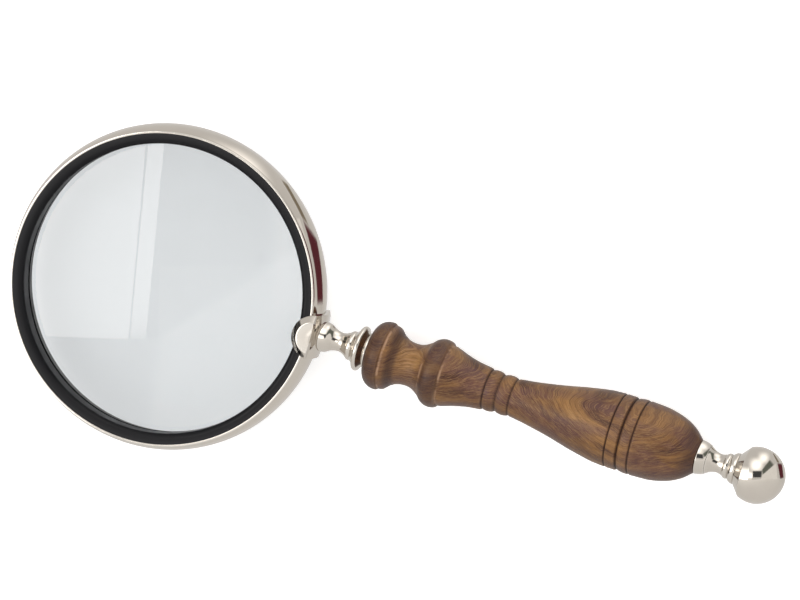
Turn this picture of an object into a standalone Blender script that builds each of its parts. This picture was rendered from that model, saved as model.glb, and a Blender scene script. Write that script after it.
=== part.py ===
"""A hand magnifying glass: a convex lens in a barrel-shaped rim, a saddle that carries the rim on a
turned stem, and a turned wooden handle clamped on a tie rod by a ball finial.

The design frame has the lens centre at its origin, the lens axis along Z and the handle along +X.
One empty shifts the whole assembly, so that in the world the middle of its length is at x = 0 and the
lowest point of the handle's belly is at z = 0. Lengths below are in millimetres.
"""

import math

import bmesh
import bpy

MM = 0.001
GAP = 0.3  # left between pieces that touch on the real object

# Head
RIM_RADIUS = 50.0  # at the crown of its convex wall
RIM_HALF_DEPTH = 7.1
RIM_LIP_RADIUS = 48.2  # outer edge of the flat lip on either side
RIM_BORE_RADIUS = 47.6
LENS_RADIUS = 45.6
LENS_EDGE = 2.6
LENS_CENTRE = 8.6
RETAINER_BORE_RADIUS = 44.3
RETAINER_FACE = 7.0  # distance of its flat face from the lens plane
RETAINER_SEAT = 1.8  # distance of its inner face from the lens plane
RETAINER_ROUND = 1.7  # radius of its rounded inner edge

# Saddle and its screw
SADDLE_PLATE = 1.1  # its thickness round the rim's wall
EAR_PLATE = 1.8
EAR_RADIUS = 6.9
EAR_CHAMFER = 1.9
EAR_CHAMFER_DEPTH = 1.6
SCREW_RADIUS = 1.25
SCREW_HEAD_RADIUS = 2.3
SCREW_HEAD_DEPTH = 1.3
SCREW_END = 54.3

# Stem, collar and washer
STEM_FOOT = 50.0  # before it is cut to the saddle's curve
STEM_END = 60.9
COLLAR_END = 65.3
COLLAR_END_RADIUS = 5.1
WASHER_END = 66.1
WASHER_RADIUS = 5.4

# Handle, tie rod and pommel
GRIP_START = 66.4
GRIP_END = 172.2
GRIP_BORE_RADIUS = 2.25
BELLY_RADIUS = 11.6
ROD_RADIUS = 1.75
ROD_START = 55.7
ROD_END = 188.2
POMMEL_COLLAR_END = 175.5
FINIAL_START = 175.8
BALL_CENTRE = 191.2
BALL_RADIUS = 8.62
SHOULDER_ANGLE = 115.0  # where the ball starts, in degrees from its tip

RING_STEPS = 64  # facets round the lens axis
EAR_STEPS = 48  # facets round the saddle's ears
HANDLE_STEPS = 28  # facets round the handle
SMALL_STEPS = 20  # facets round the rod and the screw
EDGE_ANGLE = 30.0  # a sharper edge than this isn't shaded smooth

OVERALL_END = BALL_CENTRE + BALL_RADIUS
ROD_HOLE_RADIUS = ROD_RADIUS + GAP
SCREW_HOLE_RADIUS = SCREW_RADIUS + GAP
SADDLE_FACE = RIM_HALF_DEPTH + GAP + EAR_PLATE


# Curves, as lists of (distance along the axis, radius)


def arc(centre, radius, start, end, count):
    """Points on a circle round centre, from start to end degrees. 0 points along the axis."""
    points = []
    for i in range(count + 1):
        angle = math.radians(start + (end - start) * i / count)
        points.append((centre[0] + radius * math.cos(angle), centre[1] + radius * math.sin(angle)))
    return points


def bow(start, end, height, count):
    """Points on the circular arc from start to end that rises by height over its chord."""
    chord = math.dist(start, end)
    radius = (chord * chord / 4 + height * height) / (2 * abs(height))
    unit = ((end[0] - start[0]) / chord, (end[1] - start[1]) / chord)
    half = math.asin(min(1.0, chord / 2 / radius))
    points = []
    for i in range(count + 1):
        angle = -half + 2 * half * i / count
        run = chord / 2 + radius * math.sin(angle)
        rise = math.copysign(radius * math.cos(angle) - radius + abs(height), height)
        points.append((start[0] + unit[0] * run - unit[1] * rise, start[1] + unit[1] * run + unit[0] * rise))
    return points


def catmull_rom(a, b, c, d, t):
    """The value at t between b and c of the smooth curve through a, b, c and d."""
    quadratic = a - 2.5 * b + 2 * c - 0.5 * d
    cubic = 0.5 * (d - a + 3 * (b - c))
    return b + 0.5 * t * (c - a) + t**2 * quadratic + t**3 * cubic


def flow(knots, count):
    """A smooth curve through the knots, with count spans between each two."""
    before = (2 * knots[0][0] - knots[1][0], 2 * knots[0][1] - knots[1][1])
    after = (2 * knots[-1][0] - knots[-2][0], 2 * knots[-1][1] - knots[-2][1])
    padded = [before, *knots, after]
    points = [knots[0]]
    for a, b, c, d in zip(padded, padded[1:], padded[2:], padded[3:]):
        for i in range(1, count + 1):
            points.append(tuple(catmull_rom(a[k], b[k], c[k], d[k], i / count) for k in (0, 1)))
    return points


def mirrored(front):
    """The outline of a piece that is the same on both sides of the lens plane, from its front half."""
    return [(-along, radius) for along, radius in reversed(front)] + front


def bored(outline, bore):
    """The closed section of a turned piece with a through hole."""
    return [*outline, (outline[-1][0], bore), (outline[0][0], bore)]


# Building


def material(name, colour, roughness, metallic=0.0, transmission=0.0):
    made = bpy.data.materials.new(name)
    made.use_nodes = True
    made.diffuse_color = (*colour, 1.0)
    shader = made.node_tree.nodes["Principled BSDF"]
    shader.inputs["Base Color"].default_value = (*colour, 1.0)
    shader.inputs["Roughness"].default_value = roughness
    shader.inputs["Metallic"].default_value = metallic
    shader.inputs["Transmission Weight"].default_value = transmission
    return made


def turned(name, outline, steps, axis, closed=True):
    """A shape turned round the Z of its axis, which is an empty.

    The outline runs from the low end to the high end on its outer side. One that isn't closed starts
    and ends on the axis.
    """
    points = [(radius * MM, 0.0, along * MM) for along, radius in reversed(outline)]
    edges = [(i, i + 1) for i in range(len(points) - 1)]
    if closed:
        edges.append((len(points) - 1, 0))
    mesh = bpy.data.meshes.new(name)
    mesh.from_pydata(points, edges, [])
    made = bpy.data.objects.new(name, mesh)
    made.parent = axis
    screw = made.modifiers.new("turn", "SCREW")
    screw.axis = "Z"
    screw.steps = steps
    screw.render_steps = steps
    screw.use_merge_vertices = True
    screw.merge_threshold = 1e-6
    return made


def bar(name, start, end, radius, axis):
    """A plain cylinder along the Z of its axis."""
    form = bmesh.new()
    bmesh.ops.create_cone(
        form,
        cap_ends=True,
        segments=SMALL_STEPS,
        radius1=radius * MM,
        radius2=radius * MM,
        depth=(end - start) * MM,
    )
    mesh = bpy.data.meshes.new(name)
    form.to_mesh(mesh)
    form.free()
    made = bpy.data.objects.new(name, mesh)
    made.parent = axis
    made.location.z = (start + end) / 2 * MM
    return made


def empty(name, parent=None):
    made = bpy.data.objects.new(name, None)
    made.parent = parent
    parts.objects.link(made)
    return made


def add(made, finish):
    """Makes a shape one of the object's sub-parts."""
    made.data.materials.append(finish)
    parts.objects.link(made)
    return made


def add_cutter(made):
    made.display_type = "WIRE"
    made.hide_render = True
    cutters.objects.link(made)
    return made


def combine(made, other, operation):
    step = made.modifiers.new(other.name, "BOOLEAN")
    step.operation = operation
    step.solver = "EXACT"
    step.object = other


def apply_and_shade(made):
    """Applies the modifiers and shades the piece smooth between its edges."""
    graph = bpy.context.evaluated_depsgraph_get()
    mesh = bpy.data.meshes.new_from_object(made.evaluated_get(graph))
    made.modifiers.clear()
    made.data = mesh
    mesh.name = made.name
    mesh.shade_smooth()
    mesh.set_sharp_from_angle(angle=math.radians(EDGE_ANGLE))


# The head's sections: the first number is the height above the lens plane


def wall_arc(offset):
    """The rim's convex outer wall from back to front, moved outwards by offset."""
    edge = (RIM_HALF_DEPTH - 0.5 + 0.4 * offset, RIM_LIP_RADIUS + 0.1 + 0.8 * offset)
    return bow((-edge[0], edge[1]), edge, RIM_RADIUS + offset - edge[1], 8)


def rim_section():
    lip = (RIM_HALF_DEPTH, RIM_LIP_RADIUS)
    return bored([(-lip[0], lip[1]), *wall_arc(0.0), lip], RIM_BORE_RADIUS)


def lens_outline():
    sag = (LENS_CENTRE - LENS_EDGE) / 2
    radius = (LENS_RADIUS**2 + sag**2) / (2 * sag)
    half_angle = math.degrees(math.asin(LENS_RADIUS / radius))
    return mirrored(arc((LENS_CENTRE / 2 - radius, 0.0), radius, half_angle, 0.0, 5))


def gasket_section():
    outer = RIM_BORE_RADIUS - GAP
    return bored([(-LENS_EDGE / 2, outer), (LENS_EDGE / 2, outer)], LENS_RADIUS + GAP)


def front_retainer_section():
    """Flat outside, with its inner edge rounded."""
    outer = RIM_BORE_RADIUS - GAP
    centre = (RETAINER_FACE - RETAINER_ROUND, RETAINER_BORE_RADIUS + RETAINER_ROUND)
    inner_edge = arc(centre, RETAINER_ROUND, 0.0, -90.0, 5)
    seat = (RETAINER_SEAT, RETAINER_BORE_RADIUS)
    return [(RETAINER_SEAT, outer), (RETAINER_FACE, outer), *inner_edge, seat]


def rear_retainer_section():
    return [(-along, radius) for along, radius in reversed(front_retainer_section())]


def saddle_section():
    """A C that wraps the rim with a gap, from one ear round the wall to the other.

    Its ears are thicker and longer than the saddle's, and the ear shape cuts them to size.
    """
    face = RIM_HALF_DEPTH + GAP
    beyond = SADDLE_FACE + SADDLE_PLATE
    corner = RIM_LIP_RADIUS + GAP + SADDLE_PLATE
    ear_end = RIM_RADIUS - 2 * EAR_RADIUS
    outside = [(-beyond, corner), (-SADDLE_FACE, corner), *wall_arc(GAP + SADDLE_PLATE)[1:-1]]
    front = [(SADDLE_FACE, corner), (beyond, corner), (beyond, ear_end), (face, ear_end)]
    inside = [(face, RIM_LIP_RADIUS + GAP), *wall_arc(GAP)[::-1], (-face, RIM_LIP_RADIUS + GAP)]
    return outside + front + inside + [(-face, ear_end), (-beyond, ear_end)]


def ear_outline():
    """A disc as deep as the saddle with chamfered edges, centred where the wall's crown is."""
    edge = (SADDLE_FACE - EAR_CHAMFER_DEPTH, EAR_RADIUS)
    return mirrored([edge, (SADDLE_FACE, EAR_RADIUS - EAR_CHAMFER), (SADDLE_FACE, 0.0)])


def saddle_envelope_section():
    """A ring that covers the saddle's back with a gap, to cut the stem's foot to its curve."""
    side = SADDLE_FACE + EAR_RADIUS
    inner = RIM_RADIUS - EAR_RADIUS
    return bored([(-side, inner + 1.0), *wall_arc(2 * GAP + SADDLE_PLATE), (side, inner + 1.0)], inner)


# The outlines along the handle: the first number is the distance from the lens centre


def screw_outline():
    head = RIM_BORE_RADIUS + GAP / 2
    shank = [(head + SCREW_HEAD_DEPTH, SCREW_RADIUS), (SCREW_END, SCREW_RADIUS), (SCREW_END, 0.0)]
    return [(head, 0.0), (head, SCREW_HEAD_RADIUS), *shank]


def screw_hole_outline():
    """The countersunk hole for the saddle screw, from inside the rim's bore."""
    mouth = RIM_BORE_RADIUS - GAP / 2
    mouth_radius = SCREW_HEAD_RADIUS + 1.4 * GAP
    neck = (RIM_BORE_RADIUS + GAP / 2 + SCREW_HEAD_DEPTH, SCREW_HOLE_RADIUS)
    countersink = [(mouth - 1.0, 0.0), (mouth - 1.0, mouth_radius), (mouth, mouth_radius), neck]
    return countersink + [(SCREW_END + GAP, SCREW_HOLE_RADIUS), (SCREW_END + GAP, 0.0)]


def stem_outline():
    foot = [(STEM_FOOT, 0.0), (STEM_FOOT, 4.75)]
    neck = flow([foot[-1], (52.8, 4.4), (54.6, 3.4), (56.4, 2.95), (57.8, 3.1), (59.3, 3.85)], 2)
    bead = bow((59.6, 4.15), (STEM_END, 4.4), 0.25, 3)
    return [foot[0], *neck, *bead, (STEM_END, 0.0)]


def collar_section():
    bell = bow((STEM_END + GAP, 4.6), (62.5, 6.4), -0.2, 3)
    flange = [(62.8, 6.8), (63.4, 6.98), (64.0, 6.8), (64.25, 6.3)]
    return bored([*bell, *flange, (COLLAR_END, COLLAR_END_RADIUS)], ROD_HOLE_RADIUS)


def washer_section():
    return bored([(COLLAR_END + GAP, WASHER_RADIUS), (WASHER_END, WASHER_RADIUS)], ROD_HOLE_RADIUS)


def grip_section():
    """Beads, coves and grooves turned on the wood, from the collar to the pommel."""
    end_bead = bow((GRIP_START, 5.6), (71.5, 10.5), 1.8, 6)
    small_bead = bow((71.9, 9.85), (74.0, 9.3), 0.3, 2)
    cove = flow([(75.2, 8.1), (77.2, 7.0), (79.5, 6.6), (82.0, 6.95), (84.2, 8.2), (85.3, 9.15)], 2)
    middle_bead = bow((85.6, 9.5), (90.5, 10.2), 0.75, 5)
    taper = flow([(90.9, 9.45), (92.2, 9.3), (96.0, 8.05), (100.0, 7.1), (104.3, 6.55)], 2)
    neck_beads = [(104.8, 6.0), *bow((105.2, 6.2), (108.0, 6.1), 0.25, 3), (108.7, 5.6)]
    neck_beads += [*bow((109.4, 5.95), (112.5, 5.95), 0.25, 3), (113.0, 5.55)]
    swell = flow([(113.6, 5.9), (119.0, 6.65), (126.0, 7.95), (134.0, 9.75), (141.0, 11.1), (145.7, 11.5)], 2)
    first_band = [(146.2, 11.05), (146.6, 11.5), (149.3, 11.5), (149.9, 10.75)]
    second_band = [(150.5, 11.35), (152.0, BELLY_RADIUS), (153.2, BELLY_RADIUS), (153.6, 11.15)]
    end = flow([(154.2, BELLY_RADIUS), (160.3, 11.2), (165.4, 9.9), (169.2, 8.0), (GRIP_END, 5.2)], 2)
    beads = end_bead + small_bead + cove + middle_bead + taper + neck_beads
    return bored(beads + swell + first_band + second_band + end, GRIP_BORE_RADIUS)


def pommel_collar_section():
    start = GRIP_END + GAP
    wall = bow((start + 0.4, 5.25), (POMMEL_COLLAR_END, 4.45), 0.12, 3)
    return bored([(start, 5.0), *wall], ROD_HOLE_RADIUS)


def finial_outline():
    """A cone, a neck, two beads and the ball, with a blind hole for the rod."""
    hole_end = ROD_END + GAP
    hole = [(hole_end, 0.0), (hole_end, ROD_HOLE_RADIUS), (FINIAL_START, ROD_HOLE_RADIUS)]
    cone_and_neck = flow([(FINIAL_START, 4.25), (177.4, 3.3), (179.3, 2.9), (181.0, 3.3)], 2)
    small_bead = bow((181.2, 3.55), (182.6, 3.75), 0.25, 3)
    large_bead = bow((182.9, 3.75), (185.0, 4.75), 0.4, 3)
    ball = arc((BALL_CENTRE, 0.0), BALL_RADIUS, SHOULDER_ANGLE, 0.0, 10)
    return hole + cone_and_neck + small_bead + large_bead + [(185.3, 5.1)] + ball


# Assembly

for leftover in list(bpy.data.objects):
    bpy.data.objects.remove(leftover)

parts = bpy.data.collections.new("magnifying_glass")
cutters = bpy.data.collections.new("cutters")
bpy.context.scene.collection.children.link(parts)
bpy.context.scene.collection.children.link(cutters)

nickel = material("nickel_plate", (0.62, 0.58, 0.54), 0.08, metallic=1.0)
black = material("black_lacquer", (0.018, 0.018, 0.02), 0.35)
glass = material("lens_glass", (0.92, 0.95, 0.95), 0.0, transmission=1.0)
rubber = material("gasket_rubber", (0.03, 0.03, 0.03), 0.7)
wood = material("turned_rosewood", (0.23, 0.12, 0.055), 0.35)
steel = material("bright_steel", (0.55, 0.56, 0.57), 0.3, metallic=1.0)

lens_axis = empty("lens_axis")
lens_axis.location = (-(OVERALL_END - RIM_RADIUS) / 2 * MM, 0.0, BELLY_RADIUS * MM)
handle_axis = empty("handle_axis", lens_axis)
handle_axis.rotation_euler.y = math.pi / 2
pommel_slide_axis = empty("pommel_slide_axis", handle_axis)
finial_turn_axis = empty("finial_turn_axis", pommel_slide_axis)

ear_shape = add_cutter(turned("ear_shape", ear_outline(), EAR_STEPS, lens_axis, closed=False))
ear_shape.location.x = RIM_RADIUS * MM
saddle_envelope = add_cutter(turned("saddle_envelope", saddle_envelope_section(), RING_STEPS, lens_axis))
screw_hole = add_cutter(turned("screw_hole", screw_hole_outline(), SMALL_STEPS, handle_axis, closed=False))
rod_hole = add_cutter(bar("rod_hole", ROD_START - GAP, COLLAR_END, ROD_HOLE_RADIUS, handle_axis))

rim = add(turned("rim", rim_section(), RING_STEPS, lens_axis), nickel)
combine(rim, screw_hole, "DIFFERENCE")
add(turned("lens", lens_outline(), RING_STEPS, lens_axis, closed=False), glass)
add(turned("lens_gasket", gasket_section(), RING_STEPS, lens_axis), rubber)
add(turned("front_retaining_ring", front_retainer_section(), RING_STEPS, lens_axis), black)
add(turned("rear_retaining_ring", rear_retainer_section(), RING_STEPS, lens_axis), black)

saddle = add(turned("saddle", saddle_section(), RING_STEPS, lens_axis), nickel)
combine(saddle, ear_shape, "INTERSECT")
combine(saddle, screw_hole, "DIFFERENCE")
add(turned("saddle_screw", screw_outline(), SMALL_STEPS, handle_axis, closed=False), steel)

stem = add(turned("stem", stem_outline(), HANDLE_STEPS, handle_axis, closed=False), nickel)
combine(stem, saddle_envelope, "DIFFERENCE")
combine(stem, screw_hole, "DIFFERENCE")
combine(stem, rod_hole, "DIFFERENCE")
add(turned("flange_collar", collar_section(), HANDLE_STEPS, handle_axis), nickel)
add(turned("collar_washer", washer_section(), HANDLE_STEPS, handle_axis), nickel)

add(turned("handle_grip", grip_section(), HANDLE_STEPS, handle_axis), wood)
add(bar("tie_rod", ROD_START, ROD_END, ROD_RADIUS, handle_axis), steel)
add(turned("pommel_collar", pommel_collar_section(), HANDLE_STEPS, pommel_slide_axis), nickel)
add(turned("ball_finial", finial_outline(), HANDLE_STEPS, finial_turn_axis, closed=False), nickel)

bpy.context.view_layer.update()
for made in list(parts.objects):
    if made.type == "MESH":
        apply_and_shade(made)
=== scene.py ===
"""Looks of the magnifying glass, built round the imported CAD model.

Fine turned meshes replace the faceted CAD pieces that show, in the same places and sizes. Outlines are
lists of (distance along the axis, radius) in millimetres, from the lens centre, as in the CAD source.
"""

import math

import bmesh
import bpy
from mathutils import Matrix, Vector, noise


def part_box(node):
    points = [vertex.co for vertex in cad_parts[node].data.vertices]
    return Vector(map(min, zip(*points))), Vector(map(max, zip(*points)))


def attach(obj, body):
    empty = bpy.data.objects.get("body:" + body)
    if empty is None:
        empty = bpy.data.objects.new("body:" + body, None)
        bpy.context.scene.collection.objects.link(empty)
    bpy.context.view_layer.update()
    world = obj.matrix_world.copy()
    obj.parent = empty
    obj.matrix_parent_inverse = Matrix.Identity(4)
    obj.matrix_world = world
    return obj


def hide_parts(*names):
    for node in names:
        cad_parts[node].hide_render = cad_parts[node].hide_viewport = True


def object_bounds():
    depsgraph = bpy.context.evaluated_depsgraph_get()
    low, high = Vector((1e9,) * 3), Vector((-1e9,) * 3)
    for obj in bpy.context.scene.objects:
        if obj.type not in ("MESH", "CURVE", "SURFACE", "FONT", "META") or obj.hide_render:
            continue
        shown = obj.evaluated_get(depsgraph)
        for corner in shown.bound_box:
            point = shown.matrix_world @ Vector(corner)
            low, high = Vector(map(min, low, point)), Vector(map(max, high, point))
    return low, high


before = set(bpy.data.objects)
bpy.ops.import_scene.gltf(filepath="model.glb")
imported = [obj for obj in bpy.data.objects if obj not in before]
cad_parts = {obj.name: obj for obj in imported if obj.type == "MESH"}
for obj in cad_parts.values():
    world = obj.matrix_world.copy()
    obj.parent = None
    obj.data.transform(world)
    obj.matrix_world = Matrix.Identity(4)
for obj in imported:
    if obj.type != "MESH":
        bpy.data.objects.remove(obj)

cad_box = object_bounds()

MM = 0.001
SEAM = 0.03  # left between pieces that touch

# Head
RIM_HALF_DEPTH = 7.1
RIM_RADIUS = 50.0
RIM_LIP_RADIUS = 48.2
RIM_BORE_RADIUS = 47.6
LENS_RADIUS = 45.6
LENS_EDGE = 2.6
LENS_MIDDLE = 8.6
RETAINER_BORE_RADIUS = 44.3
RETAINER_FACE = 7.0
RETAINER_SEAT = 1.4
RETAINER_ROUND = 1.7
SADDLE_PLATE = 1.4
EAR_PLATE = 2.1
EAR_RADIUS = 6.9
EAR_CHAMFER = 1.9
EAR_CHAMFER_DEPTH = 1.6
EAR_FACE = RIM_HALF_DEPTH + EAR_PLATE

# Handle
STEM_FOOT = 51.0
STEM_FOOT_RADIUS = 4.7
STEM_END = 61.2
COLLAR_END = 65.6
WASHER_END = 66.4
GRIP_END = 172.4
BELLY_RADIUS = 11.6
ROD_RADIUS = 1.75
ROD_START = 60.0
THREAD_START = 150.0
ROD_END = 188.2
ROD_PITCH = 0.6
THREAD_DEPTH = 0.34
ROD_HOLE_RADIUS = 2.05
GRIP_BORE_RADIUS = 2.25
POMMEL_COLLAR_END = 175.7
BALL_CENTRE = 191.2
BALL_RADIUS = 8.62

# Places on the wood, from the lens centre
# The beads below get painted shade; the ridges get painted highlights that also stand for wear.
SHADED_BEADS = ((60.0, 71.6), (85.5, 90.6))
PAINTED_HIGHLIGHT_RIDGES = ((71.9, 72.6, 0.3), (84.6, 85.2, 0.25), (90.8, 91.4, 0.25))  # start, end and softness
COVE_LIP = (74.0, 76.3)
COVE = (75.0, 84.0)
GRAIN_BENDS = ((66.0, 108.0, -10.5), (108.0, 152.0, 14.5), (153.5, 172.0, -5.5))  # start, end and rise
KNOT = (138.5, 5.8, 8.6)  # x, y and z, in the surface of the belly
KNOT_STRETCH = 0.45  # the knot is longer along the handle
KNOT_REACH = 6.5
KNOT_RISE = 2.8

RING_STEPS = 288
HANDLE_STEPS = 144
ROWS_PER_TURN = 8  # of the thread

# Camera, from the photograph's viewing angle
CAMERA_DISTANCE = 2.5
CAMERA_LENS = 372.6
CAMERA_AIM = Vector((71.2, 17.9, 0.0)) * MM
CAMERA_BACK = Vector((0.2300, 0.1875, 0.9549)).normalized()
CAMERA_TURN = math.radians(15.41)  # from +Y to the picture's upward direction, seen from above

low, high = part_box("lens")
LENS_CENTRE = (low + high) / 2
HEAD = Matrix.Translation(LENS_CENTRE) @ Matrix.Scale(MM, 4)
HANDLE = HEAD @ Matrix.Rotation(math.pi / 2, 4, "Y")


# Curves


def arc(centre, radius, start, end, count):
    """Points on a circle round centre, from start to end degrees. 0 points along the axis."""
    points = []
    for i in range(count + 1):
        angle = math.radians(start + (end - start) * i / count)
        points.append((centre[0] + radius * math.cos(angle), centre[1] + radius * math.sin(angle)))
    return points


def bow(start, end, height, count=12):
    """Points on the circular arc from start to end that rises by height over its chord."""
    chord = math.dist(start, end)
    radius = (chord * chord / 4 + height * height) / (2 * abs(height))
    unit = ((end[0] - start[0]) / chord, (end[1] - start[1]) / chord)
    half = math.asin(min(1.0, chord / 2 / radius))
    points = []
    for i in range(count + 1):
        angle = -half + 2 * half * i / count
        run = chord / 2 + radius * math.sin(angle)
        rise = math.copysign(radius * math.cos(angle) - radius + abs(height), height)
        points.append((start[0] + unit[0] * run - unit[1] * rise, start[1] + unit[1] * run + unit[0] * rise))
    return points


def catmull_rom(a, b, c, d, t):
    """The value at t between b and c of the smooth curve through a, b, c and d."""
    quadratic = a - 2.5 * b + 2 * c - 0.5 * d
    cubic = 0.5 * (d - a + 3 * (b - c))
    return b + 0.5 * t * (c - a) + t**2 * quadratic + t**3 * cubic


def flow(knots, count=8):
    """A smooth curve through the knots, with count spans between each two."""
    before = (2 * knots[0][0] - knots[1][0], 2 * knots[0][1] - knots[1][1])
    after = (2 * knots[-1][0] - knots[-2][0], 2 * knots[-1][1] - knots[-2][1])
    padded = [before, *knots, after]
    points = [knots[0]]
    for a, b, c, d in zip(padded, padded[1:], padded[2:], padded[3:]):
        for i in range(1, count + 1):
            points.append(tuple(catmull_rom(a[k], b[k], c[k], d[k], i / count) for k in (0, 1)))
    return points


def mirrored(front):
    return [(-along, radius) for along, radius in reversed(front)] + front


def turn_at(points, i):
    """How far an outline turns at a point, in radians. Convex corners are positive."""
    if i == 0 or i == len(points) - 1:
        return 0.0
    (ax, ay), (bx, by), (cx, cy) = points[i - 1], points[i], points[i + 1]
    return -math.remainder(math.atan2(cy - by, cx - bx) - math.atan2(by - ay, bx - ax), math.tau)


def run_lengths(points):
    total = [0.0]
    for a, b in zip(points, points[1:]):
        total.append(total[-1] + math.dist(a, b))
    return total


def point_at(points, lengths, distance):
    for i in range(1, len(points)):
        if lengths[i] >= distance:
            share = (distance - lengths[i - 1]) / max(lengths[i] - lengths[i - 1], 1e-9)
            a, b = points[i - 1], points[i]
            return (a[0] + (b[0] - a[0]) * share, a[1] + (b[1] - a[1]) * share)
    return points[-1]


def eased(points, reach, sharpest=22.0, count=6):
    """Rounds the corners of an outline with short curves that start and end at reach from them."""
    lengths = run_lengths(points)
    corners = [i for i in range(len(points)) if abs(turn_at(points, i)) > math.radians(sharpest)]
    stops = [-lengths[-1], *(lengths[i] for i in corners), 2 * lengths[-1]]
    rounded = []
    spans = []
    for k, i in enumerate(corners):
        own = min(reach, 0.45 * (stops[k + 1] - stops[k]), 0.45 * (stops[k + 2] - stops[k + 1]))
        start = point_at(points, lengths, lengths[i] - own)
        end = point_at(points, lengths, lengths[i] + own)
        corner = points[i]
        curve = []
        for step in range(count + 1):
            t = step / count
            weights = ((1 - t) ** 2, 2 * t * (1 - t), t**2)
            curve.append(tuple(sum(w * p[k] for w, p in zip(weights, (start, corner, end))) for k in (0, 1)))
        spans.append((lengths[i] - own, lengths[i] + own, i, curve))
    for i, point in enumerate(points):
        span = next((s for s in spans if s[0] - 1e-6 < lengths[i] < s[1] + 1e-6), None)
        if span is None:
            rounded.append(point)
        elif span[2] == i:
            rounded.extend(span[3])
    return rounded


# Meshes


def edge_weights(points, window=0.3):
    """How convex and how hollow an outline is near each point, from 0 to 1."""
    lengths = run_lengths(points)
    turns = [turn_at(points, i) for i in range(len(points))]
    weights = []
    for here in lengths:
        total = sum(t * max(0.0, 1 - abs(s - here) / window) for t, s in zip(turns, lengths))
        weights.append((min(1.0, max(0.0, total)), min(1.0, max(0.0, -total))))
    return weights


def finish_mesh(name, mesh, material, body, slot, *nodes):
    """Shades a mesh, and makes it a piece that stands for CAD nodes."""
    made = bpy.data.objects.new(name, mesh)
    bpy.context.scene.collection.objects.link(made)
    mesh.materials.clear()
    mesh.materials.append(material)
    mesh.shade_smooth()
    mesh.set_sharp_from_angle(angle=math.radians(40))
    weighted = made.modifiers.new("even shading", "WEIGHTED_NORMAL")
    weighted.keep_sharp = True
    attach(made, body)
    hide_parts(*nodes)
    return made


def lathe(name, outline, steps, place, closed=True, shape=None, span=None):
    """A mesh turned from an outline that runs from the low end to the high end on its outer side.

    shape moves a point given as (x, y, along). span limits the turn to some degrees either way, with
    flat ends.
    """
    weights = edge_weights(outline)
    vertices, rings, edge, hollow = [], [], [], []
    columns = steps if span is None else steps + 1
    for (along, radius), (convex, concave) in zip(outline, weights):
        first = len(vertices)
        count = 1 if radius < 1e-6 else columns
        for i in range(count):
            angle = math.tau * i / steps if span is None else math.radians(span) * (2 * i / steps - 1)
            point = Vector((radius * math.cos(angle), radius * math.sin(angle), along))
            vertices.append(place @ (shape(point) if shape else point))
        edge += [convex] * count
        hollow += [concave] * count
        rings.append([first] * columns if count == 1 else list(range(first, first + count)))
    faces = []
    pairs = list(zip(rings, rings[1:]))
    if closed:
        pairs.append((rings[-1], rings[0]))
    for low_ring, high_ring in pairs:
        for i in range(columns if span is None else columns - 1):
            j = (i + 1) % columns
            corners = (low_ring[i], low_ring[j], high_ring[j], high_ring[i])
            face = tuple(dict.fromkeys(corners))
            if len(face) > 2:
                faces.append(face)
    if span is not None:
        faces.append(tuple(ring[0] for ring in rings))
        faces.append(tuple(ring[-1] for ring in reversed(rings)))
    mesh = bpy.data.meshes.new(name)
    mesh.from_pydata(vertices, [], faces)
    for label, values in (("edge", edge), ("hollow", hollow)):
        mesh.attributes.new(label, "FLOAT", "POINT").data.foreach_set("value", values)
    return mesh


# Finishes


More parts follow.
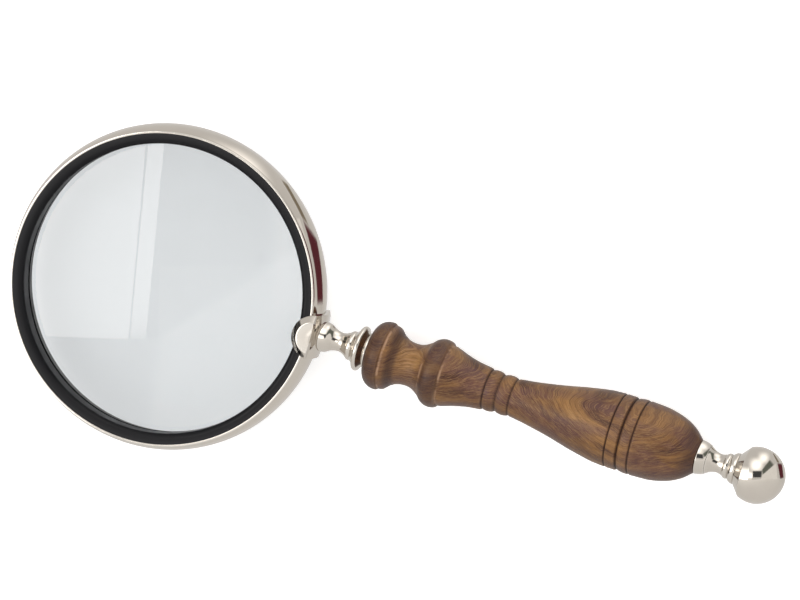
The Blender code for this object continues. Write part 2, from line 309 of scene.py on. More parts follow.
class Finish:
    """A material's Principled node tree, with short calls for the nodes that the finishes use."""

    def __init__(self, name, **constants):
        self.material = bpy.data.materials.new(name)
        self.material.use_nodes = True
        self.tree = self.material.node_tree
        self.shader = self.tree.nodes["Principled BSDF"]
        for label, value in constants.items():
            self.shader.inputs[label.replace("_", " ")].default_value = value

    def node(self, kind, values=None, **settings):
        made = self.tree.nodes.new(kind)
        for label, value in settings.items():
            setattr(made, label, value)
        for label, value in (values or {}).items():
            self.feed(made.inputs[label], value)
        return made

    def feed(self, socket, value):
        if isinstance(value, bpy.types.NodeSocket):
            self.tree.links.new(value, socket)
        else:
            socket.default_value = value

    def drive(self, label, value):
        self.feed(self.shader.inputs[label], value)

    def place(self, scale=(1, 1, 1), offset=(0, 0, 0), turn=(0, 0, 0)):
        """Object coordinates in millimetres from the world's origin, scaled."""
        coordinates = self.node("ShaderNodeTexCoord").outputs["Object"]
        values = {"Vector": coordinates, "Scale": Vector(scale) * 1000, "Location": offset, "Rotation": turn}
        return self.node("ShaderNodeMapping", values).outputs[0]

    def noise(self, vector, scale=1.0, detail=3.0, roughness=0.5):
        values = {"Vector": vector, "Scale": scale, "Detail": detail, "Roughness": roughness}
        return self.node("ShaderNodeTexNoise", values).outputs["Fac"]

    def maths(self, operation, a, b=0.0):
        return self.node("ShaderNodeMath", {0: a, 1: b}, operation=operation).outputs[0]

    def between(self, value, low, high, to_low=0.0, to_high=1.0, smooth=True):
        """value mapped from low..high to to_low..to_high, and held there outside."""
        kind = "SMOOTHSTEP" if smooth else "LINEAR"
        values = {"Value": value, "From Min": low, "From Max": high, "To Min": to_low, "To Max": to_high}
        return self.node("ShaderNodeMapRange", values, interpolation_type=kind).outputs[0]

    def ramp(self, value, *stops):
        made = self.node("ShaderNodeValToRGB", {"Fac": value})
        band = made.color_ramp
        while len(band.elements) < len(stops):
            band.elements.new(0.5)
        for element, (position, colour) in zip(band.elements, stops):
            element.position = position
            element.color = (*colour, 1.0)
        return made.outputs["Color"]

    def mix(self, share, a, b):
        """The colour that goes from a to b as share goes from 0 to 1."""
        made = self.node("ShaderNodeMix", data_type="RGBA")
        self.feed(made.inputs["Factor"], share)
        self.feed(made.inputs[6], a if isinstance(a, bpy.types.NodeSocket) else (*a, 1.0))
        self.feed(made.inputs[7], b if isinstance(b, bpy.types.NodeSocket) else (*b, 1.0))
        return made.outputs[2]

    def attribute(self, name):
        return self.node("ShaderNodeAttribute", attribute_name=name).outputs["Fac"]

    def bump(self, height, distance, normal=None):
        """distance is the depth of the relief in millimetres."""
        values = {"Height": height, "Distance": distance * MM}
        if normal is not None:
            values["Normal"] = normal
        return self.node("ShaderNodeBump", values).outputs[0]


def nickel_finish():
    """Polished nickel plate: faint polishing marks, a cloudy film, and edges painted lighter as a highlight
    and as wear.
    """
    made = Finish("nickel_plate", Metallic=1.0)
    cloud = made.noise(made.place(), 0.25, 4.0)
    fine = made.noise(made.place(), 6.0, 3.0)
    edge = made.attribute("edge")
    hollow = made.attribute("hollow")
    clean = made.mix(cloud, (0.610, 0.560, 0.500), (0.650, 0.605, 0.545))
    # Convex edges painted lighter: a painted highlight, and wear.
    worn_and_highlit = made.mix(made.maths("MULTIPLY", edge, 0.5), clean, (0.76, 0.73, 0.68))
    made.drive("Base Color", made.mix(made.maths("MULTIPLY", hollow, 0.55), worn_and_highlit, (0.30, 0.26, 0.21)))
    rough = made.between(cloud, 0.35, 0.7, 0.045, 0.085)
    rough = made.maths("ADD", rough, made.maths("MULTIPLY", fine, 0.03))
    made.drive("Roughness", made.maths("ADD", rough, made.maths("MULTIPLY", hollow, 0.15)))
    wave = made.noise(made.place(), 0.22, 2.0)
    swirl = made.noise(made.place(scale=(0.6, 8, 8)), 1.0, 2.0)
    made.drive("Normal", made.bump(swirl, 0.0004, made.bump(wave, 0.02)))
    return made.material


def lacquer_finish():
    """Satin black lacquer with a slight orange peel; its edges are painted lighter, as a highlight and as
    rubbing wear.
    """
    made = Finish("black_lacquer", Specular_IOR_Level=0.15)
    cloud = made.noise(made.place(), 0.12, 3.0)
    peel = made.noise(made.place(), 2.5, 3.0)
    edge = made.attribute("edge")
    body = made.mix(cloud, (0.0030, 0.0030, 0.0040), (0.0065, 0.0065, 0.0080))
    # Edges painted lighter: a painted highlight, with rubbing wear.
    made.drive("Base Color", made.mix(made.maths("MULTIPLY", edge, 0.3), body, (0.04, 0.04, 0.044)))
    made.drive("Roughness", made.between(cloud, 0.3, 0.7, 0.30, 0.42))
    made.drive("Normal", made.bump(peel, 0.010))
    return made.material


def glass_finish():
    """Clear glass with the grey-blue tone of a thick lens, and faint wipe marks."""
    made = Finish("lens_glass", Transmission_Weight=1.0, IOR=1.52, Roughness=0.0)
    smear = made.noise(made.place(scale=(0.05, 0.16, 0.1), turn=(0, 0, 0.5)), 1.0, 4.0)
    made.drive("Base Color", made.mix(smear, (0.782, 0.809, 0.820), (0.803, 0.826, 0.845)))
    made.drive("Normal", made.bump(made.noise(made.place(), 0.04, 1.0), 0.003))
    return made.material


def rubber_finish():
    made = Finish("gasket_rubber")
    grain = made.noise(made.place(), 4.0, 3.0)
    made.drive("Base Color", made.mix(grain, (0.018, 0.018, 0.018), (0.035, 0.035, 0.034)))
    made.drive("Roughness", made.between(grain, 0.2, 0.8, 0.62, 0.78))
    made.drive("Normal", made.bump(grain, 0.03))
    return made.material


def steel_finish():
    """Bright turned steel, with fine tool marks round the bar and a trace of oil."""
    made = Finish("turned_steel", Metallic=1.0)
    marks = made.noise(made.place(scale=(9, 0.3, 0.3)), 1.0, 3.0)
    oil = made.noise(made.place(), 0.5, 3.0)
    made.drive("Base Color", made.mix(oil, (0.42, 0.42, 0.42), (0.58, 0.58, 0.57)))
    made.drive("Roughness", made.between(marks, 0.2, 0.8, 0.22, 0.42))
    made.drive("Normal", made.bump(marks, 0.01))
    return made.material


def wood_finish():
    """Turned rosewood: streaked grain round a knot on the belly, purple-brown and golden zones, curl in the
    cove, dark pores, painted shade on the beads and where the wood is seen edge-on, painted highlights with
    wear on the ridges, and darker grooves."""
    made = Finish("turned_rosewood", Specular_IOR_Level=0.26)
    split = made.node("ShaderNodeSeparateXYZ", {"Vector": made.place(offset=-LENS_CENTRE / MM)})
    x, y, z = (split.outputs[label] for label in ("X", "Y", "Z"))

    def add(first, *others):
        for other in others:
            first = made.maths("ADD", first, other)
        return first

    def times(a, b):
        return made.maths("MULTIPLY", a, b)

    def band(start, end, soft):
        """1 between two distances along the handle, and 0 outside."""
        begun = made.between(x, start - soft, start + soft)
        return times(begun, made.between(x, end - soft, end + soft, 1.0, 0.0))

    # The grain's slant changes along the handle, and it runs round the knot.
    drift = made.noise(made.place(scale=(0.04, 0.12, 0.12), offset=(3.1, 0.4, 1.7)), 1.0, 2.0)
    stretched = made.node("ShaderNodeCombineXYZ", {"X": times(x, KNOT_STRETCH), "Y": y, "Z": z})
    knot = Vector((KNOT[0] * KNOT_STRETCH, KNOT[1], KNOT[2]))
    apart = made.node("ShaderNodeVectorMath", {0: stretched.outputs[0], 1: knot}, operation="DISTANCE")
    bends = [made.between(x, start, end, 0.0, rise, smooth=False) for start, end, rise in GRAIN_BENDS]
    round_knot = made.between(apart.outputs["Value"], 0.0, KNOT_REACH, KNOT_RISE, 0.0)
    across = add(times(y, 0.85), times(z, 0.50), times(drift, 4.5), *bends, round_knot)

    def grain(along, over, shift, detail, roughness):
        """Noise drawn out along the grain."""
        values = {"X": times(x, along), "Y": times(across, over), "Z": shift}
        vector = made.node("ShaderNodeCombineXYZ", values)
        return made.noise(vector.outputs[0], 1.0, detail, roughness)

    # Broad zones, purple-brown zones, dark lines and light fibres.
    base = made.ramp(
        grain(0.040, 0.28, 4.3, 6.0, 0.62),
        (0.34, (0.056, 0.021, 0.014)),
        (0.43, (0.108, 0.046, 0.022)),
        (0.51, (0.170, 0.078, 0.028)),
        (0.59, (0.246, 0.118, 0.037)),
        (0.68, (0.310, 0.162, 0.056)),
    )
    zone = made.noise(made.place(scale=(0.045, 0.13, 0.13), offset=(1.0, 7.3, 2.2)), 1.0, 2.0)
    tinted = made.mix(made.between(zone, 0.46, 0.60, 0.0, 0.62), base, (0.098, 0.042, 0.042))
    lines = made.between(grain(0.12, 2.8, 9.1, 5.0, 0.65), 0.53, 0.66)
    lined = made.mix(times(lines, 0.56), tinted, (0.036, 0.013, 0.007))
    fibre = grain(0.45, 7.5, 1.7, 4.0, 0.7)
    fibred = made.mix(made.between(fibre, 0.46, 0.64, 0.0, 0.45), lined, (0.410, 0.228, 0.088))

    # Curl in the cove, open pores, painted shade on the beads, and darker wood at the cove's lip and towards
    # the end.
    sway = made.maths("SINE", add(times(x, 1.3), times(y, 0.9)))
    waves = made.maths("SINE", add(times(across, 8.5), times(sway, 0.8), times(drift, 5.0)))
    ripples = times(made.between(waves, -0.3, 1.0), band(*COVE, 1.5))
    curled = made.mix(times(ripples, 0.34), fibred, (0.400, 0.230, 0.105))
    pores = made.noise(made.place(scale=(0.35, 5.5, 5.5), offset=(4, 4, 4)), 1.0, 2.0)
    pore = made.between(pores, 0.60, 0.70)
    pored = made.mix(times(pore, 0.5), curled, (0.024, 0.010, 0.006))
    beads = add(*(band(start, end, 0.4) for start, end in SHADED_BEADS))
    far_end = made.between(x, 166.0, 172.0, 0.0, 0.55)
    darkening = add(times(beads, 0.55), times(band(*COVE_LIP, 0.7), 0.62), far_end)
    darkened = made.mix(darkening, pored, (0.036, 0.014, 0.014))

    # Painted highlights, with some wear, on the ridges beside the front beads and on convex edges, darker
    # grooves behind them, and painted shade where the wood is seen edge-on.
    edge = made.attribute("edge")
    hollow = made.attribute("hollow")
    # Ridges and convex edges painted lighter: painted highlights, partly wear.
    ridges = add(*(band(*ridge) for ridge in PAINTED_HIGHLIGHT_RIDGES))
    ridge_highlight_and_wear = made.between(made.noise(made.place(), 0.25, 4.0), 0.42, 0.60, 0.05, 0.85)
    rubbed_and_highlit = made.mix(add(times(edge, 0.16), times(ridges, ridge_highlight_and_wear)), darkened, (0.420, 0.250, 0.150))
    groove_darkening = times(hollow, made.between(x, 100.0, 103.0, 0.15, 0.94))
    grooved = made.mix(groove_darkening, rubbed_and_highlit, (0.020, 0.006, 0.004))
    # Painted shade: the wood is darkened where it is seen edge-on.
    grazing = made.node("ShaderNodeLayerWeight", {"Blend": 0.32}).outputs["Facing"]
    made.drive("Base Color", made.mix(times(grazing, 0.75), grooved, (0.026, 0.014, 0.009)))
    rough = made.between(fibre, 0.3, 0.7, 0.30, 0.44)
    made.drive("Roughness", add(rough, times(hollow, 0.25)))
    made.drive("Normal", made.bump(pore, -0.03, made.bump(fibre, 0.035)))
    return made.material


# Outlines of the head


def wall(offset, count=40):
    """The rim's convex outer wall from back to front, moved outwards by offset."""
    edge = (RIM_HALF_DEPTH - 0.5 + 0.4 * offset, RIM_LIP_RADIUS + 0.1 + 0.8 * offset)
    return bow((-edge[0], edge[1]), edge, RIM_RADIUS + offset - edge[1], count)


def wall_radius(offset, height):
    """The radius of that wall at a height over the lens plane."""
    edge = (RIM_HALF_DEPTH - 0.5 + 0.4 * offset, RIM_LIP_RADIUS + 0.1 + 0.8 * offset)
    sag = RIM_RADIUS + offset - edge[1]
    bend = (edge[0] ** 2 + sag**2) / (2 * sag)
    return RIM_RADIUS + offset - bend + math.sqrt(bend**2 - height**2)


def rim_outline():
    lip = (RIM_HALF_DEPTH, RIM_LIP_RADIUS)
    bore = (RIM_HALF_DEPTH, RIM_BORE_RADIUS)
    back = [(0.0, RIM_BORE_RADIUS), (-bore[0], bore[1]), (-lip[0], lip[1])]
    return eased([*back, *wall(0.0), lip, bore, (0.1, RIM_BORE_RADIUS)], 0.12)


def lens_outline():
    sag = (LENS_MIDDLE - LENS_EDGE) / 2
    bend = (LENS_RADIUS**2 + sag**2) / (2 * sag)
    half_angle = math.degrees(math.asin(LENS_RADIUS / bend))
    return eased(mirrored(arc((LENS_MIDDLE / 2 - bend, 0.0), bend, half_angle, 0.0, 60)), 0.15)


def retainer_outline():
    outer = RIM_BORE_RADIUS - SEAM
    centre = (RETAINER_FACE - RETAINER_ROUND, RETAINER_BORE_RADIUS + RETAINER_ROUND)
    inner_edge = arc(centre, RETAINER_ROUND, 0.0, -90.0, 24)
    back = [(RETAINER_SEAT, (outer + RETAINER_BORE_RADIUS) / 2), (RETAINER_SEAT, outer)]
    front = [(RETAINER_FACE, outer), *inner_edge, (RETAINER_SEAT, RETAINER_BORE_RADIUS)]
    return eased([*back, *front, (RETAINER_SEAT, back[0][1] - 0.1)], 0.15)


def flipped(outline):
    return [(-along, radius) for along, radius in reversed(outline)]


def saddle_outline():
    """A C round the rim, with ears that are too thick and too long, for the ear shape to cut."""
    face = RIM_HALF_DEPTH + SEAM
    beyond = EAR_FACE + 1.0
    corner = RIM_LIP_RADIUS + SADDLE_PLATE
    ear_end = RIM_RADIUS - 2 * EAR_RADIUS
    outside = [(-beyond, corner), (-EAR_FACE, corner), *wall(SADDLE_PLATE)[1:-1]]
    front = [(EAR_FACE, corner), (beyond, corner), (beyond, ear_end), (face, ear_end)]
    inside = [(face, RIM_LIP_RADIUS + SEAM), *reversed(wall(SEAM)), (-face, RIM_LIP_RADIUS + SEAM)]
    return outside + front + inside + [(-face, ear_end), (-beyond, ear_end)]


def ear_outline():
    edge = (EAR_FACE - EAR_CHAMFER_DEPTH, EAR_RADIUS)
    face = (EAR_FACE, EAR_RADIUS - EAR_CHAMFER)
    return eased(mirrored([(0.05, EAR_RADIUS), edge, face, (EAR_FACE, 0.0)]), 0.18)


def saddle_mesh():
    shell = lathe("saddle", saddle_outline(), 120, HEAD, span=12.0)
    place = HEAD @ Matrix.Translation((RIM_RADIUS, 0.0, 0.0))
    disc = lathe("ear_shape", ear_outline(), 180, place, closed=False)
    objects = []
    for mesh in (shell, disc):
        objects.append(bpy.data.objects.new(mesh.name, mesh))
        bpy.context.scene.collection.objects.link(objects[-1])
    cut = objects[0].modifiers.new("ears", "BOOLEAN")
    cut.operation = "INTERSECT"
    cut.solver = "EXACT"
    cut.object = objects[1]
    round_edges = objects[0].modifiers.new("edges", "BEVEL")
    round_edges.width = 0.12 * MM
    round_edges.segments = 3
    round_edges.limit_method = "ANGLE"
    round_edges.angle_limit = math.radians(50)
    round_edges.use_clamp_overlap = True
    graph = bpy.context.evaluated_depsgraph_get()
    made = bpy.data.meshes.new_from_object(objects[0].evaluated_get(graph))
    for leftover in objects:
        bpy.data.objects.remove(leftover)
    return made


# Outlines along the handle


def stem_outline():
    foot = [(STEM_FOOT, radius) for radius in (0.0, 1.6, 3.2, STEM_FOOT_RADIUS)]
    neck = flow([foot[-1], (52.8, 4.4), (54.6, 3.4), (56.4, 2.95), (57.8, 3.1), (59.3, 3.85)])
    bead = bow((59.6, 4.15), (STEM_END - SEAM, 4.4), 0.25)
    return eased(foot + neck[1:] + bead + [(STEM_END - SEAM, 2.0), (STEM_END - SEAM, 0.0)], 0.12)


def on_saddle(point):
    """Moves the stem's foot on to the saddle's curved back."""
    radius = wall_radius(SADDLE_PLATE + SEAM, max(-6.0, min(6.0, point.x)))
    surface = math.sqrt(radius**2 - point.y**2)
    share = max(0.0, 1 - (point.z - STEM_FOOT) / 2.5)
    return Vector((point.x, point.y, point.z + (surface - STEM_FOOT) * share**2))


def with_bore(outline, radius):
    """Closes a turned section with a through hole, and starts it in the middle of the hole."""
    start, end = outline[0][0], outline[-1][0]
    middle = (start + end) / 2
    return [(middle, radius), (start, radius), *outline, (end, radius), (middle + 0.05, radius)]


def collar_outline():
    bell = bow((STEM_END, 4.6), (62.5, 6.4), -0.2)
    flange = bow((62.5, 6.4), (64.25, 6.3), 0.62, 16)
    back = bow((64.3, 6.2), (COLLAR_END - SEAM, 4.95), -0.12)
    return eased(with_bore([*bell, *flange[1:], *back], ROD_HOLE_RADIUS), 0.12)


def washer_outline():
    washer = [(COLLAR_END, 5.45), (WASHER_END - SEAM, 5.45)]
    return eased(with_bore(washer, ROD_HOLE_RADIUS), 0.12)


def grip_outline():
    end_bead = bow((WASHER_END, 5.6), (71.5, 10.5), 1.8, 24)
    small_bead = bow((71.9, 9.85), (74.0, 9.3), 0.3)
    cove = flow([(75.2, 8.1), (77.2, 7.0), (79.5, 6.6), (82.0, 6.95), (84.2, 8.2), (85.3, 9.15)])
    middle_bead = bow((85.6, 9.5), (90.5, 10.2), 0.75, 20)
    taper = flow([(90.9, 9.45), (92.2, 9.3), (96.0, 8.05), (100.0, 7.1), (104.3, 6.55)])
    neck_beads = [(104.8, 6.0), *bow((105.2, 6.2), (108.0, 6.1), 0.25), (108.7, 5.6)]
    neck_beads += [*bow((109.4, 5.95), (112.5, 5.95), 0.25), (113.0, 5.55)]
    belly = [(113.6, 5.9), (119.0, 6.65), (126.0, 7.95), (134.0, 9.75), (141.0, 11.1), (145.7, 11.5)]
    swell = flow(belly, 14)
    first_band = [(146.2, 11.05), (146.6, 11.5), (149.3, 11.5), (149.9, 10.75)]
    second_band = [(150.5, 11.35), (152.0, BELLY_RADIUS), (153.2, BELLY_RADIUS), (153.6, 11.15)]
    end = flow([(154.2, BELLY_RADIUS), (160.3, 11.2), (165.4, 9.9), (169.2, 8.0), (GRIP_END, 5.2)], 14)
    beads = end_bead + small_bead + cove + middle_bead + taper + neck_beads
    return eased(with_bore(beads + swell + first_band + second_band + end, GRIP_BORE_RADIUS), 0.22)


def hand_turned(point):
    """Slight unevenness of hand turning, no more than a few hundredths of a millimetre."""
    radius = math.hypot(point.x, point.y)
    if radius < GRIP_BORE_RADIUS + 0.1:
        return point
    slow = noise.noise(Vector((point.x * 0.12, point.y * 0.12, point.z * 0.2)))
    quick = noise.noise(Vector((point.x * 0.5, point.y * 0.5, point.z * 1.5)) + Vector((7, 3, 1)))
    share = 1 + (0.035 * slow + 0.02 * quick) / radius
    return Vector((point.x * share, point.y * share, point.z))


def threaded(point):
    """Cuts a fine helical thread into the rod."""
    radius = math.hypot(point.x, point.y)
    if radius < ROD_RADIUS - 0.01 or not THREAD_START + 1.0 < point.z < ROD_END - 0.4:
        return point
    phase = (point.z / ROD_PITCH - math.atan2(point.y, point.x) / math.tau) % 1.0
    depth = THREAD_DEPTH * abs(2 * phase - 1)
    share = (radius - depth) / radius
    return Vector((point.x * share, point.y * share, point.z))


def rod_outline():
    rows = int((ROD_END - THREAD_START) / ROD_PITCH * ROWS_PER_TURN)
    side = [(THREAD_START + (ROD_END - THREAD_START) * i / rows, ROD_RADIUS) for i in range(rows + 1)]
    return [(ROD_START, 0.0), (ROD_START, ROD_RADIUS), *side, (ROD_END, 0.0)]


def pommel_collar_outline():
    start = GRIP_END + SEAM
    wall_line = bow((start + 0.4, 5.25), (POMMEL_COLLAR_END - SEAM, 4.45), 0.12)
    return eased(with_bore([(start, 5.0), *wall_line], ROD_HOLE_RADIUS), 0.1)


def finial_outline():
    hole_end = ROD_END + 0.3
    hole = [(hole_end, 0.0), (hole_end, ROD_HOLE_RADIUS), (POMMEL_COLLAR_END, ROD_HOLE_RADIUS)]
    cone_and_neck = flow([(POMMEL_COLLAR_END, 4.3), (177.4, 3.3), (179.3, 2.9), (181.0, 3.3)])
    small_bead = bow((181.2, 3.55), (182.6, 3.75), 0.25)
    large_bead = bow((182.9, 3.75), (185.0, 4.75), 0.4)
    ball = arc((BALL_CENTRE, 0.0), BALL_RADIUS, 115.0, 0.0, 90)
    return eased(hole + cone_and_neck + small_bead + large_bead + [(185.3, 5.1)] + ball, 0.12)


# The object

nickel = nickel_finish()
lacquer = lacquer_finish()
wood = wood_finish()
steel = steel_finish()

retainer = retainer_outline()
lens_mesh = lathe("lens", lens_outline(), RING_STEPS, HEAD, closed=False)
finish_mesh("clear_lens", lens_mesh, glass_finish(), "root", "lens_glass", "lens")
rim_mesh = lathe("rim", rim_outline(), RING_STEPS, HEAD)
finish_mesh("polished_rim", rim_mesh, nickel, "root", "nickel", "rim")
front_mesh = lathe("front_ring", retainer, RING_STEPS, HEAD)
finish_mesh("front_black_ring", front_mesh, lacquer, "root", "black_lacquer", "front_retaining_ring")
rear_mesh = lathe("rear_ring", flipped(retainer), RING_STEPS, HEAD)
finish_mesh("rear_black_ring", rear_mesh, lacquer, "root", "black_lacquer", "rear_retaining_ring")
finish_mesh("polished_saddle", saddle_mesh(), nickel, "root", "nickel", "saddle")

stem_mesh = lathe("stem", stem_outline(), HANDLE_STEPS, HANDLE, closed=False, shape=on_saddle)
finish_mesh("polished_stem", stem_mesh, nickel, "root", "nickel", "stem")
collar_mesh = lathe("collar", collar_outline(), HANDLE_STEPS, HANDLE)
finish_mesh("polished_collar", collar_mesh, nickel, "root", "nickel", "flange_collar")
washer_mesh = lathe("washer", washer_outline(), HANDLE_STEPS, HANDLE)
finish_mesh("polished_washer", washer_mesh, nickel, "root", "nickel", "collar_washer")
grip_mesh = lathe("grip", grip_outline(), HANDLE_STEPS, HANDLE, shape=hand_turned)
finish_mesh("wooden_grip", grip_mesh, wood, "root", "rosewood", "handle_grip")
rod_mesh = lathe("rod", rod_outline(), 32, HANDLE, closed=False, shape=threaded)
finish_mesh("threaded_rod", rod_mesh, steel, "root", "steel", "tie_rod")
pommel_mesh = lathe("pommel", pommel_collar_outline(), HANDLE_STEPS, HANDLE)
finish_mesh("polished_pommel_collar", pommel_mesh, nickel, "pommel", "nickel", "pommel_collar")
finial_mesh = lathe("finial", finial_outline(), HANDLE_STEPS, HANDLE, closed=False)
finish_mesh("polished_ball_finial", finial_mesh, nickel, "finial", "nickel", "ball_finial")

for name, material in (("lens_gasket", rubber_finish()), ("saddle_screw", steel)):
    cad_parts[name].data.materials.clear()
    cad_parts[name].data.materials.append(material)


# Camera and studio

scene = bpy.context.scene
scene.view_settings.view_transform = "Standard"

up_hint = Vector((-math.sin(CAMERA_TURN), math.cos(CAMERA_TURN), 0.0))
right = up_hint.cross(CAMERA_BACK).normalized()
turned_frame = Matrix((right, CAMERA_BACK.cross(right), CAMERA_BACK)).transposed()

camera_data = bpy.data.cameras.new("camera")
camera_data.lens = CAMERA_LENS
camera_data.sensor_width = 36.0
camera = bpy.data.objects.new("camera", camera_data)
camera.matrix_world = turned_frame.to_4x4()
camera.location = LENS_CENTRE + CAMERA_AIM + CAMERA_BACK * CAMERA_DISTANCE
scene.collection.objects.link(camera)
scene.camera = camera


BALL_MIDDLE = HANDLE @ Vector((0.0, 0.0, BALL_CENTRE))
PANEL_SPANS = 16
HARD = (0.0, 0.0, 0.0, 0.0)  # a panel with sharp sides

# The kinds of ray that meet a panel
LIGHTING = ("glossy", "diffuse")
MIRRORED = ("glossy",)
IN_THE_GLASS = ("transmission",)  # what the back of the lens mirrors

WARM_WHITE = (1.0, 0.985, 0.965)
WHITE = (1.0, 1.0, 1.0)
RED = (0.115, 0.020, 0.030)
SHADE = (0.9, 0.95, 1.0)
GREEN_SHADE = (0.9, 1.0, 0.85)
BROWN_SHADE = (0.26, 0.22, 0.16)


def mirror_direction(u, v):
    """The direction that the ball mirrors to the camera at u right and v up of its middle, in radii."""
    normal = turned_frame @ Vector((u, v, math.sqrt(1 - u * u - v * v)))
    return 2 * normal.dot(CAMERA_BACK) * normal - CAMERA_BACK


def glow_finish(name, colour, strength, weight=None, fading=False):
    """A glowing surface. weight names the attribute that dims it or, with fading, hides it."""
    made = Finish(name, Roughness=0.9)
    made.drive("Base Color", (0.0, 0.0, 0.0, 1.0))
    made.drive("Emission Color", (*colour, 1.0))
    made.drive("Emission Strength", strength)
    if fading:
        made.drive("Alpha", made.attribute(weight))
    elif weight:
        made.drive("Emission Strength", made.maths("MULTIPLY", made.attribute(weight), strength))
    return made.material


def add_panel(name, mesh, material, rays=LIGHTING):
    """A part of the studio that only the given kinds of ray meet."""
    mesh.materials.append(material)
    made = bpy.data.objects.new(name, mesh)
    scene.collection.objects.link(made)
    made.visible_camera = False
    made.visible_shadow = False
    made.visible_glossy = "glossy" in rays
    made.visible_diffuse = "diffuse" in rays
    made.visible_transmission = "transmission" in rays


def fade(inset, soft):
    """0 at a panel's side and 1 from soft inwards."""
    share = min(1.0, inset / soft) if soft else 1.0
    return share * share * (3 - 2 * share)


def panel(name, corners, colour, strength, distance, soft=HARD, rays=LIGHTING):
    """A curved panel with its corners where the ball mirrors them, from the lower left, anticlockwise.

    soft is how far its left, right, lower and upper sides fade, as a share of its size.
    """
    count = PANEL_SPANS
    left, right, lower, upper = soft
    vertices, weights, faces = [], [], []
    for j in range(count + 1):
        for i in range(count + 1):
            s, t = i / count, j / count
            shares = ((1 - s) * (1 - t), s * (1 - t), s * t, (1 - s) * t)
            u, v = (sum(w * c[k] for w, c in zip(shares, corners)) for k in (0, 1))
            vertices.append(BALL_MIDDLE + mirror_direction(u, v) * distance)
            weights.append(fade(s, left) * fade(1 - s, right) * fade(t, lower) * fade(1 - t, upper))
            if i < count and j < count:
                first = j * (count + 1) + i
                faces.append((first, first + 1, first + count + 2, first + count + 1))
    mesh = bpy.data.meshes.new(name)
    mesh.from_pydata(vertices, [], faces)
    mesh.attributes.new("glow", "FLOAT", "POINT").data.foreach_set("value", weights)
    material = glow_finish(name, colour, strength, "glow", fading=soft != HARD)
    add_panel(name, mesh, material, rays)


# Softboxes and reflectors
corners = (-0.36, 0.04), (0.24, 0.04), (0.32, 0.70), (-0.34, 0.68)
panel("key_softbox", corners, WARM_WHITE, 2.4, 3.0, soft=(0.48, 0.48, 0.48, 0.48))
corners = (-0.04, 0.30), (0.48, 0.38), (0.52, 0.85), (-0.02, 0.88)
panel("high_softbox", corners, WARM_WHITE, 2.1, 3.0, soft=(0.5, 0.5, 0.5, 0.5))
corners = (-0.70, -0.25), (-0.3600, -0.25), (-0.2995, 0.34), (-0.64, 0.38)
panel("side_softbox", corners, WARM_WHITE, 3.6, 3.0, soft=(0.4, 0.0, 0.2, 0.6))
corners = (-0.350, -0.165), (-0.335, -0.165), (-0.283, 0.32), (-0.298, 0.32)
panel("side_strip", corners, WARM_WHITE, 3.7, 3.0, soft=(0.0, 0.0, 0.08, 0.4), rays=MIRRORED)
corners = (-0.35, -0.10), (-0.175, -0.10), (-0.16, 0.14), (-0.33, 0.22)
panel("near_softbox", corners, WARM_WHITE, 2.2, 0.5, soft=(0.15, 0.0, 0.1, 0.5), rays=MIRRORED)
corners = (-0.60, -0.21), (-0.290, -0.02), (-0.25, 0.20), (-0.60, 0.24)
panel("lens_glow", corners, WARM_WHITE, 1.85, 3.0, soft=(0.0, 0.03, 0.03, 0.0), rays=IN_THE_GLASS)
corners = (-0.330, -0.30), (-0.20, -0.30), (-0.20, -0.08), (-0.322, -0.08)
panel("front_sheet", corners, WARM_WHITE, 1.13, 2.7, rays=MIRRORED)
corners = (0.12, -0.13), (0.70, -0.13), (0.66, 0.40), (0.20, 0.16)
panel("right_reflector", corners, WARM_WHITE, 1.0, 2.8)

# Dark things that the nickel mirrors: screens, the camera and its stand
corners = (-0.88, -0.44), (-0.70, -0.44), (-0.58, 0.52), (-0.80, 0.54)
panel("left_flag", corners, SHADE, 0.05, 2.4, soft=(0.12, 0.12, 0.12, 0.12))
corners = (-0.20, -0.07), (0.15, -0.07), (0.18, 0.19), (-0.18, 0.19)
panel("camera_flag", corners, SHADE, 0.07, 2.4, soft=(0.12, 0.12, 0.06, 0.20), rays=MIRRORED)
corners = (0.16, 0.00), (0.62, 0.36), (0.44, 0.58), (0.13, 0.20)
panel("arm_flag", corners, GREEN_SHADE, 0.16, 2.4, soft=(0.12, 0.12, 0.15, 0.25), rays=MIRRORED)
corners = (0.79, -0.14), (0.92, -0.11), (0.88, 0.38), (0.70, 0.44)
panel("red_flag", corners, RED, 1.0, 2.4, soft=(0.06, 0.06, 0.04, 0.10), rays=MIRRORED)
corners = (0.71, 0.42), (0.80, 0.40), (0.62, 0.74), (0.58, 0.72)
panel("dark_stand", corners, BROWN_SHADE, 1.0, 2.4, soft=(0.1, 0.1, 0.1, 0.1), rays=MIRRORED)

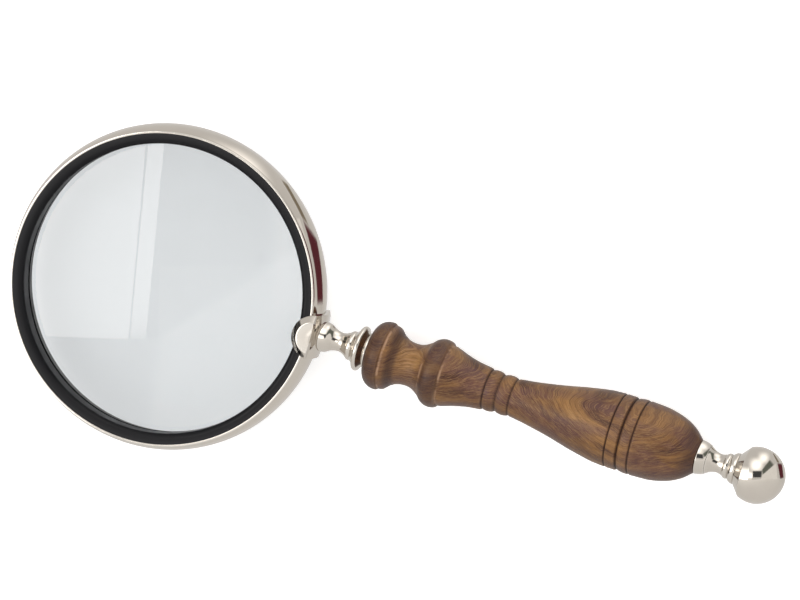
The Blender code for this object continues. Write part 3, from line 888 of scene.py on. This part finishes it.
# A white table below the object, as the ball mirrors it. Its far side is darker.
TABLE_DROP = 0.55
table_mesh = bpy.data.meshes.new("white_table")
table_corners = []
for across, along in ((-4.0, -3.0), (4.0, -3.0), (4.0, 3.9), (-4.0, 0.2)):
    table_corners.append(BALL_MIDDLE + turned_frame @ Vector((across, -TABLE_DROP, along)))
table_mesh.from_pydata(table_corners, [], [(0, 1, 2, 3)])
table_mesh.attributes.new("glow", "FLOAT", "POINT").data.foreach_set("value", (0.6, 0.6, 1.0, 1.0))
add_panel("white_table", table_mesh, glow_finish("white_table", WARM_WHITE, 1.06, "glow"))

world = bpy.data.worlds.new("studio")
world.use_nodes = True
world.node_tree.nodes["Background"].inputs["Color"].default_value = (*WARM_WHITE, 1.0)
world.node_tree.nodes["Background"].inputs["Strength"].default_value = 0.76
scene.world = world


def floor_finish():
    made = Finish("pale_floor", Roughness=0.8)
    grain = made.noise(made.place(), 0.02, 2.0)
    made.drive("Base Color", made.mix(grain, (0.90, 0.90, 0.90), (0.92, 0.92, 0.92)))
    made.drive("Emission Color", (*WHITE, 1.0))
    made.drive("Emission Strength", 0.48)
    return made.material


FLOOR_REACH = 6.0
FLOOR_GAP = 0.0002  # below the object
floor_mesh = bpy.data.meshes.new("floor")
floor_form = bmesh.new()
bmesh.ops.create_grid(floor_form, x_segments=1, y_segments=1, size=FLOOR_REACH)
floor_form.to_mesh(floor_mesh)
floor_form.free()
floor_mesh.materials.append(floor_finish())
floor = bpy.data.objects.new("floor", floor_mesh)
scene.collection.objects.link(floor)
floor.location.z = cad_box[0].z - FLOOR_GAP
floor.visible_glossy = False

# A white backdrop behind the floor's edge. Only the camera meets it.
backdrop_mesh = bpy.data.meshes.new("backdrop")
backdrop_form = bmesh.new()
bmesh.ops.create_uvsphere(backdrop_form, u_segments=48, v_segments=24, radius=1.5 * FLOOR_REACH)
backdrop_form.to_mesh(backdrop_mesh)
backdrop_form.free()
add_panel("backdrop", backdrop_mesh, glow_finish("white_backdrop", WHITE, 1.1), rays=())
bpy.data.objects["backdrop"].visible_camera = True
